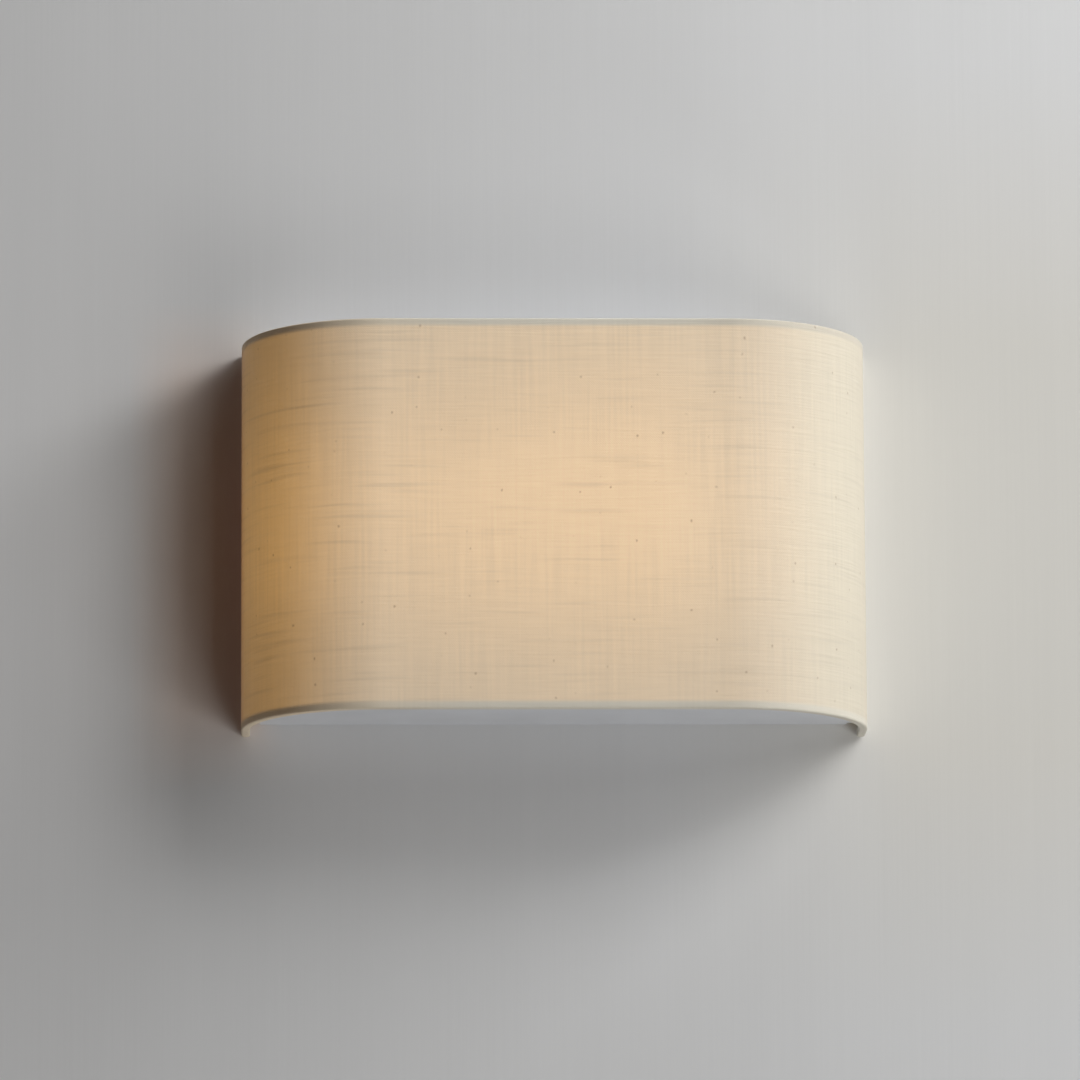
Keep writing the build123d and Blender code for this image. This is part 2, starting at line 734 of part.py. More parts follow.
# Leads run from the block's poles to the rear of each lampholder and to the earth stud. Each
# lamp takes one lead from the near pole, on the outside, and one from the far pole, which
# passes in front of the other lamp's.
lead_top = block_bottom + lead_entry_depth
near_pole = pole_pitch + lead_pair_offset
far_pole = pole_pitch - lead_pair_offset
outer_entry = lamp_x + lead_entry_offset
inner_entry = lamp_x - lead_entry_offset
leads = {
    "earth_lead": [
        (0, -pole_wall_distance, lead_top),
        (0, -pole_wall_distance, -8),
        (0, -barrel_axis_y, -18),
        (0, -barrel_axis_y, earth_barrel_bottom + 1),
    ]
}
for name, side in sides.items():
    crossing = -20 if name == "left" else -15.5
    leads[f"{name}_outer_lead"] = [
        (side * near_pole, -pole_wall_distance, lead_top),
        (side * near_pole, -pole_wall_distance, -12),
        (side * 28, -9, -34),
        (side * 50, -10, -56),
        (side * outer_entry, -15, lug_middle),
        (side * outer_entry, -lead_end, lug_middle),
    ]
    leads[f"{name}_inner_lead"] = [
        (-side * far_pole, -pole_wall_distance, lead_top),
        (-side * far_pole, crossing / 2, -8),
        (side * 5, crossing, -24),
        (side * 24, -14.5, -46),
        (side * 42, -13, -64),
        (side * inner_entry, -17, lug_middle),
        (side * inner_entry, -lead_end, lug_middle),
    ]

for name, points in leads.items():
    radii = lead_radii(points)
    with BuildLine() as route:
        FilletPolyline(*points, radius=radii)
    path = route.line
    with BuildPart() as lead:
        with BuildSketch(Plane(origin=path @ 0, z_dir=path % 0)):
            Circle(lead_diameter / 2)
        sweep(path=path)
    section = pi * (lead_diameter / 2) ** 2
    share = lead.part.volume / (section * sum(edge.length for edge in path.edges()))
    print(name, "radii", [round(radius, 1) for radius in radii], "volume share", round(share, 4))
    save(lead, name)
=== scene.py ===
import json
from math import atan2, cos, hypot, pi, radians, sin

import bmesh
import bpy
from mathutils import Matrix, Vector


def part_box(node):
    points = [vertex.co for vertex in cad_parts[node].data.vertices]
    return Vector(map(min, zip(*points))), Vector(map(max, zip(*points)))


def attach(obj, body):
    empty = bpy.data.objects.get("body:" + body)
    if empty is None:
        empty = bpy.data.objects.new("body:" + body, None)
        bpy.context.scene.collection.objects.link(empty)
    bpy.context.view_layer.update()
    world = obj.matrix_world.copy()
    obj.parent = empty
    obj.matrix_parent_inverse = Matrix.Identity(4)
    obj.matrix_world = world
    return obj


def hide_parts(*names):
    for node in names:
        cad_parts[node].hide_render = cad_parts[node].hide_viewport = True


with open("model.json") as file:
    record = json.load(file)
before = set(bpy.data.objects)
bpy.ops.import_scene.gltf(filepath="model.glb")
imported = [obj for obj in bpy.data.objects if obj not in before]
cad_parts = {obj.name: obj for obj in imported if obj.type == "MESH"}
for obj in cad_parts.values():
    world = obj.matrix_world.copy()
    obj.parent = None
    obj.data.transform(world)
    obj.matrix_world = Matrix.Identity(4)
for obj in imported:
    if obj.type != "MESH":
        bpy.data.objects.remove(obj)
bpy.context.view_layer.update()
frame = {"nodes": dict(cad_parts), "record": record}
nodes = frame["nodes"]
slot_of = {row["node"]: row["material_slot"] for row in frame["record"]["subparts"]}

# A wall light with a D-shaped fabric shade. Lengths are in metres. The wall is the plane Y = 0,
# the shade's front faces -Y and +Z is up.

# Sizes of the shade, from the frame where it holds them
shade_low, shade_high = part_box("shade_fabric")
ring_low, ring_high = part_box("upper_ring")
half_width = shade_high.x
half_height = shade_high.z
shade_front = shade_low.y
corner_radius = 0.068
cloth_thickness = 0.0005
wire_gap = 0.00005
roll_radius = (ring_high.z - ring_low.z) / 2 + cloth_thickness + wire_gap
roll_x = half_width - roll_radius
hem_edge_radius = 0.0009
hem_edge_height = half_height - hem_edge_radius
hem_return = 0.0028
hem_start = 0.0905
corner_x = half_width - corner_radius
corner_y = shade_front + corner_radius
corner_length = corner_radius * pi / 2
cloth_step = 0.002
cloth_weld = 0.00001
yarn_spacing = 0.0011

# Sizes of the small metal parts
metal_weld = 0.000001
sheet_thickness = 0.0003
lamp_thread_pitch = 0.00282
screw_pitch = 0.0007
screw_radius = 0.002
screw_start = 0.0005
earth_stud_start = 0.0004

# Where the photograph was taken from
camera_place = Vector((-0.1044, -3.9415, -0.7403))
camera_pitch = 10.67
camera_yaw = 1.43
camera_roll = -0.277
camera_lens = 276.8
sensor_width = 36.0

# Width of each studio light, as a share of its distance
light_share = 0.36

# Colours, as linear red, green and blue
DAYLIGHT = (1.0, 0.985, 0.965)
WARM_FILL = (1.0, 0.62, 0.42)
CLOTH = (0.56, 0.515, 0.435)
# Painted highlight on the hems, for the light they catch
PAINTED_HEM_HIGHLIGHT = (0.74, 0.72, 0.64)
# Painted warm lamp glow and shade on the hems at the left
PAINTED_HEM_GLOW_AND_SHADE = (0.77, 0.67, 0.52)
FLECK = (0.16, 0.09, 0.04)
DEEP_GLOW = (1.0, 0.51, 0.11)
PALE_GLOW = (1.0, 0.69, 0.39)
EDGE_GLOW = (1.0, 0.20, 0.01)
WINDOW_GLOW = (0.93, 0.98, 0.76)
WALL = (0.773, 0.790, 0.806)
# Painted warm lamp light on the wall beside the right of the light
PAINTED_WARM_LAMP_LIGHT = (0.757, 0.754, 0.722)
# Painted reddish lamp light on the wall in the shadow left of the light
PAINTED_RED_LAMP_LIGHT = (0.850, 0.780, 0.740)
LINER = (0.80, 0.74, 0.62)
OPAL = (0.90, 0.88, 0.84)
LAMP = (1.0, 0.80, 0.55)

# Studio lights: degrees to the right of the front, degrees up, metres away, watts and colour
STUDIO_LIGHTS = {
    "window": (40, 32, 1.5, 5.64, DAYLIGHT),
    "far_window": (52, 18, 3.0, 18.4, DAYLIGHT),
    "side_window": (70, 30, 2.4, 19.8, DAYLIGHT),
    "high_window": (70, 70, 1.2, 3.46, DAYLIGHT),
    "floor_bounce": (30, -30, 2.4, 6.2, DAYLIGHT),
    "side_bounce": (50, -30, 2.4, 6.5, DAYLIGHT),
    "low_bounce": (50, -60, 2.4, 6.9, DAYLIGHT),
    "left_fill": (-60, -5, 2.4, 1.2, WARM_FILL),
    "rear": (180, 0, 1.8, 4.0, DAYLIGHT),
}


class Finish:
    """A material and the nodes that make it."""

    def __init__(self, name, **values):
        self.material = bpy.data.materials.new(name)
        self.material.use_nodes = True
        self.tree = self.material.node_tree
        self.shader = self.tree.nodes["Principled BSDF"]
        for socket, value in values.items():
            self.shader.inputs[socket.replace("_", " ")].default_value = value

    def node(self, kind, output=0, settings=None, **inputs):
        """Adds a node, gives its inputs a value or a link, and returns one of its outputs."""
        made = self.tree.nodes.new(kind)
        for name, value in (settings or {}).items():
            setattr(made, name, value)
        for name, value in inputs.items():
            socket = made.inputs[int(name[1:]) if name[0] == "_" else name.replace("_", " ")]
            self.feed(socket, value)
        return made.outputs[output]

    def feed(self, socket, value):
        """Links a socket to another node's output, or sets its value."""
        if isinstance(value, bpy.types.NodeSocket):
            self.tree.links.new(value, socket)
        else:
            socket.default_value = value

    def shade(self, **inputs):
        """Feeds the surface shader."""
        for name, value in inputs.items():
            self.feed(self.shader.inputs[name.replace("_", " ")], value)

    def place(self, scale=(1, 1, 1), kind="Object"):
        """Coordinates on the piece in metres, stretched by a scale on each axis."""
        found = self.node("ShaderNodeTexCoord", kind)
        return self.node("ShaderNodeMapping", _0=found, Scale=scale)

    def noise(self, scale=(1, 1, 1), kind="Object", detail=2.0, roughness=0.5, seed=0.0):
        """Cloudy pattern from 0 to 1. Its scale is the waves to the metre on each axis."""
        return self.node(
            "ShaderNodeTexNoise",
            settings={"noise_dimensions": "4D"},
            Vector=self.place(scale, kind),
            W=seed,
            Scale=1.0,
            Detail=detail,
            Roughness=roughness,
        )

    def maths(self, operation, first, second=0.0, third=0.0):
        """One step of arithmetic."""
        return self.node(
            "ShaderNodeMath", settings={"operation": operation}, _0=first, _1=second, _2=third
        )

    def span(self, value, start, end, low=0.0, high=1.0, smooth=False):
        """Carries a value from the range start..end to the range low..high, and holds it there."""
        kind = "SMOOTHSTEP" if smooth else "LINEAR"
        return self.node(
            "ShaderNodeMapRange",
            settings={"interpolation_type": kind},
            Value=value,
            From_Min=start,
            From_Max=end,
            To_Min=low,
            To_Max=high,
        )

    def mix(self, share, first, second, blend="MIX"):
        """Colour between two colours."""
        return self.node(
            "ShaderNodeMix",
            output=2,
            settings={"data_type": "RGBA", "blend_type": blend},
            _0=share,
            _6=first,
            _7=second,
        )

    def bump(self, height, distance):
        """Raises the surface by a height pattern, over a distance in metres."""
        normal = self.node("ShaderNodeBump", Height=height, Distance=distance, Strength=1.0)
        self.shade(Normal=normal)


def rgba(colour, share=1.0):
    """Opaque colour, lightened or darkened by a share."""
    return (*(part * share for part in colour), 1.0)


def straight(bm, geometry, step, steps):
    """Carries points or edges straight on in even steps and returns the last ones."""
    made = bmesh.ops.spin(
        bm, geom=geometry, cent=(0, 0, 0), axis=(0, 0, 1), dvec=step, angle=0, steps=steps
    )
    return made["geom_last"]


def turned(bm, geometry, centre, axis, angle, steps):
    """Carries points or edges round an axis and returns the last ones."""
    made = bmesh.ops.spin(bm, geom=geometry, cent=centre, axis=axis, angle=angle, steps=steps)
    return made["geom_last"]


def piece(bm, name, body, replaced):
    """Makes a mesh into a named piece that rides on a body and stands for a CAD node."""
    mesh = bpy.data.meshes.new(name)
    bm.to_mesh(mesh)
    bm.free()
    mesh.shade_smooth()
    made = bpy.data.objects.new(name, mesh)
    bpy.context.scene.collection.objects.link(made)
    slot = slot_of[replaced]
    mesh.materials.append(finish_of_slot[slot])
    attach(made, body)
    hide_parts(replaced)
    return made


# Finishes


def lamp_glow(finish, wall_share):
    """Light through the shade: warm from the lamps, deeper to the left, pale beside the window.

    Returns its colour, its strength and the places along the wall and up it. Next to the wall
    only a share of it is left.
    """
    place = finish.node("ShaderNodeTexCoord", "Object")
    axes = finish.node("ShaderNodeSeparateXYZ", _0=place).node
    x, y, z = axes.outputs["X"], axes.outputs["Y"], axes.outputs["Z"]

    # Strength along the shade, which falls off round both corners and towards the wall
    left = finish.span(x, -0.195, -0.110, smooth=True)
    right = finish.span(x, 0.195, 0.062, smooth=True)
    off_wall = finish.span(y, -0.006, -0.034, smooth=True)
    near_wall = finish.span(off_wall, 0.0, 1.0, wall_share, 1.0)
    across = finish.span(x, -0.09, 0.01, 0.405, 0.465, smooth=True)
    across = finish.maths("MULTIPLY", across, finish.maths("MULTIPLY", left, right))
    across = finish.maths("MULTIPLY", across, near_wall)

    # Strength up the shade: a soft band level with the lamps, an even share and a slope
    band_height = 0.045
    height = finish.maths("DIVIDE", z, band_height)
    square = finish.maths("MULTIPLY", height, height)
    band = finish.maths("EXPONENT", finish.maths("MULTIPLY", square, -0.5))
    band_share = finish.span(x, 0.05, 0.13, 0.40, 0.18)
    even_share = finish.span(x, 0.10, 0.145, 0.60, 0.76)
    left_share = finish.span(x, -0.12, -0.09, 0.04, 0.0)
    slope = finish.span(x, -0.12, -0.085, -0.3, 0.6)
    upright = finish.maths("MULTIPLY", band, band_share)
    upright = finish.maths("ADD", upright, even_share)
    upright = finish.maths("ADD", upright, left_share)
    upright = finish.maths("MULTIPLY_ADD", z, slope, upright)

    # Colour: paler away from the lamps and to the right, and reddest at the left next to the wall
    paleness = finish.maths("MULTIPLY_ADD", square, 0.077, 0.56)
    paleness = finish.maths("ADD", paleness, finish.span(x, 0.03, 0.10, 0.0, 0.32, smooth=True))
    paleness = finish.maths("MULTIPLY", paleness, finish.span(x, -0.150, -0.088, smooth=True))
    colour = finish.mix(paleness, rgba(DEEP_GLOW), rgba(PALE_GLOW))
    window = finish.span(x, 0.095, 0.150, 0.0, 0.7, smooth=True)
    colour = finish.mix(window, colour, rgba(WINDOW_GLOW))
    at_wall = finish.maths("SUBTRACT", 1.0, off_wall)
    edge = finish.maths("MULTIPLY", finish.span(x, 0.0, -0.1), at_wall)
    colour = finish.mix(edge, colour, rgba(EDGE_GLOW))
    return colour, finish.maths("MULTIPLY", across, upright), x, z


def fleck_share(cloth):
    """Share of brown in the scattered bits of husk that are spun into the yarn.

    There is a place for one in every 13 by 16 mm, and chance sets how far each one reaches.
    """
    edge = cloth.noise((1400, 900, 1), "UV", detail=1.0, seed=12.0)
    bits = cloth.node(
        "ShaderNodeTexVoronoi",
        "Distance",
        {"voronoi_dimensions": "2D"},
        Vector=cloth.place((78, 64, 1), "UV"),
        Scale=1.0,
        Randomness=1.0,
    )
    chance = cloth.node("ShaderNodeSeparateColor", "Red", Color=bits.node.outputs["Color"])
    distance = cloth.maths("ADD", bits, cloth.span(edge, 0.3, 0.7, -0.022, 0.022))
    reach = cloth.span(chance, 0.3, 1.0, -0.005, 0.058)
    share = cloth.maths("SUBTRACT", reach, distance)
    return cloth.span(share, 0.0, 0.032, 0.0, 0.42)


def plain_weave():
    """Cream plain-weave cloth with slubs, uneven yarns and brown flecks, lit from inside."""
    cloth = Finish("cream_plain_weave", Roughness=0.85, Specular_IOR_Level=0.2, Sheen_Weight=0.05)
    colour, glow, x, z = lamp_glow(cloth, wall_share=0.2)

    # Tone of the yarns: weft runs along the shade with slubs in it, and warp runs up it
    slubs = cloth.span(cloth.noise((18, 330, 1), "UV", detail=1.5), 0.53, 0.74, smooth=True)
    weft = cloth.span(cloth.noise((40, 800, 1), "UV", detail=1.0, seed=3.0), 0.3, 0.7, -1, 1)
    warp = cloth.span(cloth.noise((700, 20, 1), "UV", detail=1.0, seed=5.0), 0.3, 0.7, -1, 1)
    patches = cloth.noise((30, 26, 1), "UV", detail=1.0, seed=7.0)
    warp = cloth.maths("MULTIPLY", warp, cloth.span(patches, 0.42, 0.60, 0.55, 1.0))
    clouds = cloth.span(cloth.noise((14, 22, 1), "UV", detail=2.0, seed=9.0), 0.3, 0.7, -1, 1)
    yarn = cloth.maths("MULTIPLY_ADD", warp, 0.075, 1.0)
    yarn = cloth.maths("MULTIPLY_ADD", weft, 0.035, yarn)
    yarn = cloth.maths("MULTIPLY_ADD", clouds, 0.03, yarn)
    slub_shade = cloth.span(x, -0.12, -0.05, -0.19, -0.12)
    yarn = cloth.maths("MULTIPLY_ADD", slubs, slub_shade, yarn)

    # Over and under of the weave
    yarn_turn = 2 * pi / yarn_spacing
    yarn_place = cloth.place((yarn_turn, yarn_turn, 1), "UV")
    yarn_axes = cloth.node("ShaderNodeSeparateXYZ", _0=yarn_place).node
    over = cloth.maths("SINE", yarn_axes.outputs["X"])
    under = cloth.maths("SINE", yarn_axes.outputs["Y"])
    weave = cloth.maths("MULTIPLY", over, under)

    # Cloth by daylight. The doubled hems are painted paler, a painted highlight for the light they
    # catch, which gives way to plain cloth at the right, more so higher up
    hem_blur = 0.0012
    height = cloth.maths("ABSOLUTE", z)
    in_hem = cloth.span(height, hem_start - hem_blur, hem_start + hem_blur, smooth=True)
    fleck = fleck_share(cloth)
    # Painted warm lamp glow and shade on the hems at the left, giving way to the painted highlight
    # towards the middle
    painted_hem_light = cloth.mix(cloth.span(x, -0.12, -0.04), rgba(PAINTED_HEM_GLOW_AND_SHADE), rgba(PAINTED_HEM_HIGHLIGHT))
    upper = cloth.span(z, -0.09, 0.09, 0.4, 0.8)
    plain = cloth.maths("MULTIPLY", cloth.span(x, 0.05, 0.13), upper)
    painted_hem_light = cloth.mix(plain, painted_hem_light, rgba(CLOTH))
    base = cloth.mix(in_hem, rgba(CLOTH), painted_hem_light)
    tone = cloth.maths("MULTIPLY_ADD", weave, 0.02, cloth.span(yarn, 0.8, 1.1, 0.95, 1.03))
    base = cloth.mix(1.0, base, tone, "MULTIPLY")
    base = cloth.mix(fleck, base, rgba(FLECK))

    # Lamps' light through it, which hardly passes the hems
    lit = cloth.maths("MULTIPLY", glow, cloth.span(in_hem, 0.0, 1.0, 1.0, 0.12))
    lit = cloth.mix(1.0, colour, cloth.maths("MULTIPLY", lit, yarn), "MULTIPLY")
    lit = cloth.mix(fleck, lit, rgba(FLECK, 0.5))
    cloth.shade(Base_Color=base, Emission_Color=lit, Emission_Strength=1.0)
    relief = cloth.maths("MULTIPLY_ADD", slubs, 0.8, cloth.maths("MULTIPLY_ADD", weave, 0.5, weft))
    cloth.bump(relief, 0.00004)
    return cloth.material


def glowing_liner():
    """Stiff translucent film inside the cloth, bright with the lamps' light."""
    film = Finish("liner_film", Roughness=0.6)
    colour, glow, _, _ = lamp_glow(film, wall_share=1.0)
    grain = film.noise((700, 700, 700), detail=3.0)
    tone = film.span(grain, 0.3, 0.7)
    film.shade(Base_Color=film.mix(tone, rgba(LINER, 0.97), rgba(LINER, 1.03)))
    film.shade(Emission_Color=film.mix(1.0, colour, glow, "MULTIPLY"), Emission_Strength=1.1)
    film.bump(grain, 0.00002)
    return film.material


def lit_opal_glass():
    """Opal glass of a lit bulb."""
    glass = Finish("opal_glass", Roughness=0.18)
    clouds = glass.noise((60, 60, 60), detail=2.0)
    tone = glass.span(clouds, 0.3, 0.7)
    glass.shade(Base_Color=glass.mix(tone, rgba(OPAL, 0.97), rgba(OPAL)))
    lit = glass.mix(tone, rgba(LAMP, 0.92), rgba(LAMP))
    glass.shade(Emission_Color=lit, Emission_Strength=0.75)
    return glass.material


def brushed_wall_paint():
    """Pale wall paint with fine upright brush marks, and painted lamp light on it beside the
    light.
    """
    paint = Finish("brushed_wall_paint", Roughness=0.6, Specular_IOR_Level=0.25)
    marks = paint.noise((420, 1, 5), detail=4.0, roughness=0.65)
    broad = paint.noise((40, 1, 2.2), detail=2.0, seed=4.0)
    fine_tone = paint.span(marks, 0.3, 0.7, -1, 1)
    broad_tone = paint.span(broad, 0.3, 0.7, -1, 1)
    tone = paint.span(paint.maths("ADD", fine_tone, broad_tone), -2, 2)

    # Painted warm lamp light, a touch darker, on the wall beside the right of the light, and
    # painted reddish lamp light in the shadow at its left
    axes = paint.node("ShaderNodeSeparateXYZ", _0=paint.place()).node
    x = axes.outputs["X"]
    height = paint.maths("ABSOLUTE", axes.outputs["Z"])
    painted_warm_light_share = paint.maths("MULTIPLY", paint.span(x, 0.05, 0.17), paint.span(height, 0.24, 0.10))
    tint = paint.mix(painted_warm_light_share, rgba(WALL), rgba(PAINTED_WARM_LAMP_LIGHT))
    # Painted reddish lamp light, only in the shadow just left of the shade
    painted_red_light_share = paint.maths("MULTIPLY", paint.span(x, -0.205, -0.18), paint.span(x, -0.13, -0.15))
    painted_red_light_share = paint.maths("MULTIPLY", painted_red_light_share, paint.span(height, 0.12, 0.08))
    tint = paint.mix(painted_red_light_share, tint, rgba(PAINTED_RED_LAMP_LIGHT))
    paint.shade(Base_Color=paint.mix(1.0, tint, paint.span(tone, 0, 1, 0.984, 1.016), "MULTIPLY"))
    paint.bump(marks, 0.00005)

    # Clear from behind, so that the back of the light can be seen
    clear = paint.node("ShaderNodeBsdfTransparent")
    behind = paint.node("ShaderNodeNewGeometry", "Backfacing")
    either = paint.node("ShaderNodeMixShader", _0=behind, _1=paint.shader.outputs[0], _2=clear)
    paint.feed(paint.tree.nodes["Material Output"].inputs["Surface"], either)
    return paint.material


def speckled(name, colour, roughness, grain, relief=0.00002, metal=0.0):
    """Plain finish with a fine grain in its tone, its gloss and its surface."""
    spread = 0.06
    made = Finish(name, Metallic=metal)
    grains = made.noise((grain, grain, grain), detail=3.0)
    clouds = made.noise((35, 35, 35), detail=2.0, seed=2.0)
    tone = made.maths("MULTIPLY_ADD", clouds, 0.6, made.maths("MULTIPLY", grains, 0.4))
    tone = made.span(tone, 0.3, 0.7)
    made.shade(Base_Color=made.mix(tone, rgba(colour, 1 - spread), rgba(colour, 1 + spread)))
    made.shade(Roughness=made.span(grains, 0.3, 0.7, roughness * 0.85, roughness * 1.15))
    made.bump(grains, relief)
    return made.material


# Pieces


def cloth_uv(co):
    """Place on the cut cloth, in metres: along the shade from its middle, and up it."""
    side = -1 if co.x < 0 else 1
    x, y = abs(co.x), co.y
    if y > corner_y:
        along = corner_x + corner_length + min(y, -roll_radius) - corner_y
        inset = half_width - x
    elif x > corner_x:
        along = corner_x + corner_radius * atan2(x - corner_x, corner_y - y)
        inset = corner_radius - hypot(x - corner_x, corner_y - y)
    else:
        along = x
        inset = y - shade_front
    if y > -roll_radius:
        along += roll_radius * atan2(y + roll_radius, x - roll_x)
    up = abs(co.z)
    if up > hem_edge_height:
        up += inset
    return side * along, up if co.z > 0 else -up


def roll_hem(bm, start, end):
    """Carries the edge of the panel round the wire: over, across and back down inside."""
    hem_x = half_width - hem_edge_radius
    across = 2 * (roll_radius - hem_edge_radius)
    axis = (0, end, 0)
    height = end * hem_edge_height
    at = turned(bm, start, (-hem_x, -roll_radius, height), axis, pi / 2, 6)
    at = straight(bm, at, (across / 4, 0, 0), 4)
    at = turned(bm, at, (across - hem_x, -roll_radius, height), axis, pi / 2, 6)
    straight(bm, at, (0, 0, -end * hem_return / 2), 2)


def rear_edges(bm, side, lowest, highest):
    """Edges at one rear end of the cloth, on the outer half of its hems, between two heights."""
    found = []
    for edge in bm.edges:
        middle = (edge.verts[0].co + edge.verts[1].co) / 2
        at_end = edge.is_boundary and middle.y > -1.01 * roll_radius
        if at_end and side * middle.x > roll_x and lowest < abs(middle.z) < highest:
            found.append(edge)
    return found


def shade_cloth():
    """Cloth shade: a panel bent to a D, rolled over wire at its top, bottom and rear edges."""
    bm = bmesh.new()
    start = bmesh.ops.create_vert(bm, co=(-half_width, -roll_radius, -hem_edge_height))["vert"]
    rows = round(2 * hem_edge_height / cloth_step)
    top = straight(bm, start, (0, 0, 2 * hem_edge_height / rows), rows)
    roll_hem(bm, top, 1)
    roll_hem(bm, start, -1)
    section = bm.verts[:] + bm.edges[:]

    rear_steps = round((-roll_radius - corner_y) / cloth_step)
    rear_step = (roll_radius + corner_y) / rear_steps
    front_steps = round(2 * corner_x / cloth_step)
    turn_steps = round(corner_length / cloth_step)
    at = straight(bm, section, (0, rear_step, 0), rear_steps)
    at = turned(bm, at, (-corner_x, corner_y, 0), (0, 0, 1), pi / 2, turn_steps)
    at = straight(bm, at, (2 * corner_x / front_steps, 0, 0), front_steps)
    at = turned(bm, at, (corner_x, corner_y, 0), (0, 0, 1), pi / 2, turn_steps)
    straight(bm, at, (0, -rear_step, 0), rear_steps)

    sleeve_turn = radians(285)
    for side in (-1, 1):
        centre = (side * roll_x, -roll_radius, 0)
        sleeve = rear_edges(bm, side, 0, hem_edge_height)
        corners = rear_edges(bm, side, hem_edge_height, half_height + roll_radius)
        turned(bm, sleeve, centre, (0, 0, 1), side * sleeve_turn, 19)
        turned(bm, corners, centre, (0, 0, 1), side * pi, 12)
    bmesh.ops.remove_doubles(bm, verts=bm.verts, dist=cloth_weld)
    bmesh.ops.recalc_face_normals(bm, faces=bm.faces)

    uv = bm.loops.layers.uv.new("cloth")
    for face in bm.faces:
        for loop in face.loops:
            loop[uv].uv = cloth_uv(loop.vert.co)
    made = piece(bm, "shade_cloth", "shade", "shade_fabric")
    thick = made.modifiers.new("cloth_thickness", "SOLIDIFY")
    thick.thickness = cloth_thickness
    thick.offset = -1.0


def lathe(section, steps=32, closed=False):
    """Small part turned round the Z axis from points of its section, as radius and height."""
    part = bmesh.new()
    points = [part.verts.new((radius, 0, height)) for radius, height in section]
    ring = points + points[:1] if closed else points
    edges = [part.edges.new(pair) for pair in zip(ring, ring[1:])]
    bmesh.ops.spin(
        part,
        geom=points + edges,
        cent=(0, 0, 0),
        axis=(0, 0, 1),
        angle=2 * pi,
        steps=steps,
        use_merge=True,
    )
    return part


def set_in(bm, part, place, turn=0.0):
    """Adds a small part to a mesh at its place, with its axis turned about X."""
    bmesh.ops.remove_doubles(part, verts=part.verts, dist=metal_weld)
    bmesh.ops.recalc_face_normals(part, faces=part.faces)
    part.transform(Matrix.Translation(place) @ Matrix.Rotation(turn, 4, "X"))
    mesh = bpy.data.meshes.new("part")
    part.to_mesh(mesh)
    part.free()
    bm.from_mesh(mesh)
    bpy.data.meshes.remove(mesh)


def threads(radius, low, high, pitch):
    """Section points of a screw thread between two heights."""
    root = radius - 0.3 * pitch
    turns = round((high - low) / pitch)
    step = (high - low) / turns
    points = []
    for turn in range(turns):
        points += [(root, low + turn * step), (radius, low + (turn + 0.5) * step)]
    return points + [(root, high)]


def hex_nut(bore, across_flats, thickness):
    """Nut with six flats and chamfered corners, standing on the origin."""
    corner = across_flats / 2 / cos(pi / 6)
    section = [(bore, 0), (bore, thickness), (corner, thickness), (corner, 0)]
    part = lathe(section, 48, closed=True)
    for vert in part.verts:
        if hypot(vert.co.x, vert.co.y) > bore * 1.01:
            angle = (atan2(vert.co.y, vert.co.x) + 2 * pi) % (pi / 3) - pi / 6
            radius = across_flats / 2 / cos(angle)
            drop = (radius - across_flats / 2) * 0.6
            vert.co.x *= radius / corner
            vert.co.y *= radius / corner
            vert.co.z += drop if vert.co.z == 0 else -drop
    return part


def slotted_screw(radius, length, head_radius, head_height):
    """Screw standing on the origin, with a bevelled head and a driver slot."""
    top = length + head_height
    edge = head_radius * 0.12
    neck = [(radius, length), (head_radius, length)] if head_radius > radius else []
    rim = [(head_radius, top - edge), (head_radius - edge, top)]
    part = lathe([(0, 0), (radius, 0), *neck, *rim, (0, top)], 24)
    bmesh.ops.remove_doubles(part, verts=part.verts, dist=metal_weld)

    half_wide, half_long = head_radius * 0.14, head_radius * 0.78
    slot_depth = 0.45 * head_radius
    for axis, half in (((1, 0, 0), half_wide), ((0, 1, 0), half_long)):
        for way in (-1, 1):
            geometry = part.verts[:] + part.edges[:] + part.faces[:]
            point = [way * half * step for step in axis]
            bmesh.ops.bisect_plane(
                part, geom=geometry, plane_co=point, plane_no=axis, dist=metal_weld / 10
            )
    slot = []
    for face in part.faces:
        middle = face.calc_center_median()
        inside = abs(middle.x) < half_wide and abs(middle.y) < half_long
        if inside and middle.z > top - 10 * metal_weld:
            slot.append(face)
    raised = bmesh.ops.extrude_face_region(part, geom=slot)["geom"]
    sunk = [item for item in raised if isinstance(item, bmesh.types.BMVert)]
    bmesh.ops.translate(part, verts=sunk, vec=(0, 0, -slot_depth))
    bmesh.ops.delete(part, geom=slot, context="FACES")
    return part


def threaded_sleeve(name, node, body, crest, depth, plain_top=0.0):
    """Sheet metal sleeve with a rolled round thread, plain at its top."""
    low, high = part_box(node)
    centre = (low + high) / 2
    pitch = lamp_thread_pitch
    rows = round((high.z - low.z) / (pitch / 8))
    bm = bmesh.new()
    place = Matrix.Translation((centre.x, centre.y, low.z))
    bmesh.ops.create_circle(bm, segments=40, radius=crest, matrix=place)
    straight(bm, bm.verts[:] + bm.edges[:], (0, 0, (high.z - low.z) / rows), rows)
    for vert in bm.verts:
        x, y = vert.co.x - centre.x, vert.co.y - centre.y
        rise = vert.co.z - low.z
        wave = (1 - cos(2 * pi * rise / pitch - atan2(y, x))) / 2
        fade = max(0.0, min(1.0, (high.z - low.z - plain_top - rise) / pitch))
        share = 1 - depth / crest * wave * fade
        vert.co.x, vert.co.y = centre.x + x * share, centre.y + y * share
    bmesh.ops.recalc_face_normals(bm, faces=bm.faces)
    made = piece(bm, name, body, node)
    wall = made.modifiers.new("sheet", "SOLIDIFY")
    wall.thickness = sheet_thickness
    wall.offset = -1.0


